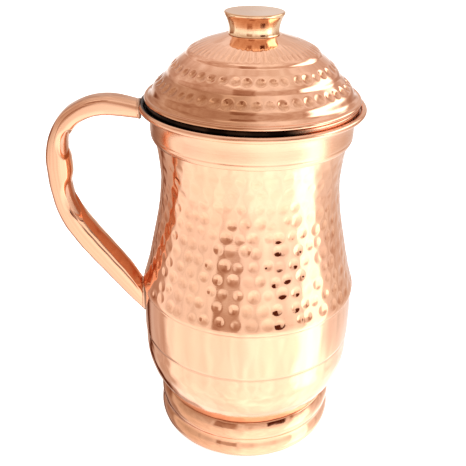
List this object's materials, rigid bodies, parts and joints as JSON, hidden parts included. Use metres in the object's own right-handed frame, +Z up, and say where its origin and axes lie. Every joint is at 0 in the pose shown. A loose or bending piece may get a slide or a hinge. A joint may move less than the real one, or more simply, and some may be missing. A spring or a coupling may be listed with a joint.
{
  "type": "water jug with lid",
  "caption": "Waisted hammered copper jug with a spreading foot, smooth collar, tube handle with finger grips, and a stepped domed lid with a spool knob that lifts off.",
  "frame": {"origin": "on the jug's axis, at the level of the foot", "axes": "+Z up along the jug's axis and the way the lid lifts, -X towards the handle"},
  "size_m": [0.1587, 0.1144, 0.2286],
  "materials": {
    "hammered_copper": "hand hammered, polished copper sheet, clear lacquered",
    "planished_copper": "planished and polished copper sheet",
    "polished_copper": "lathe-brushed and polished copper",
    "inner_copper": "plain satin copper, unpolished inside",
    "solder": "filed brazing fillet",
    "fastener_brass": "plain turned brass"
  },
  "bodies": {
    "jug": {"upper_shell": "hammered_copper", "lower_bowl": "planished_copper", "base_disc": "inner_copper", "foot_ring": "polished_copper", "collar_band": "polished_copper", "rim_wire": "inner_copper", "handle_tube": "polished_copper", "handle_top_solder": "solder", "handle_bottom_solder": "solder"},
    "lid": {"lid_shell": "hammered_copper", "lid_edge_wire": "inner_copper", "lid_collar": "polished_copper", "knob": "polished_copper", "knob_washer": "fastener_brass", "knob_screw": "fastener_brass"}
  },
  "joints": [
    {"name": "lid_lift", "type": "slide", "parent": "jug", "child": "lid", "axis": [0, 0, 1], "range_m": [0, 0.06]}
  ]
}
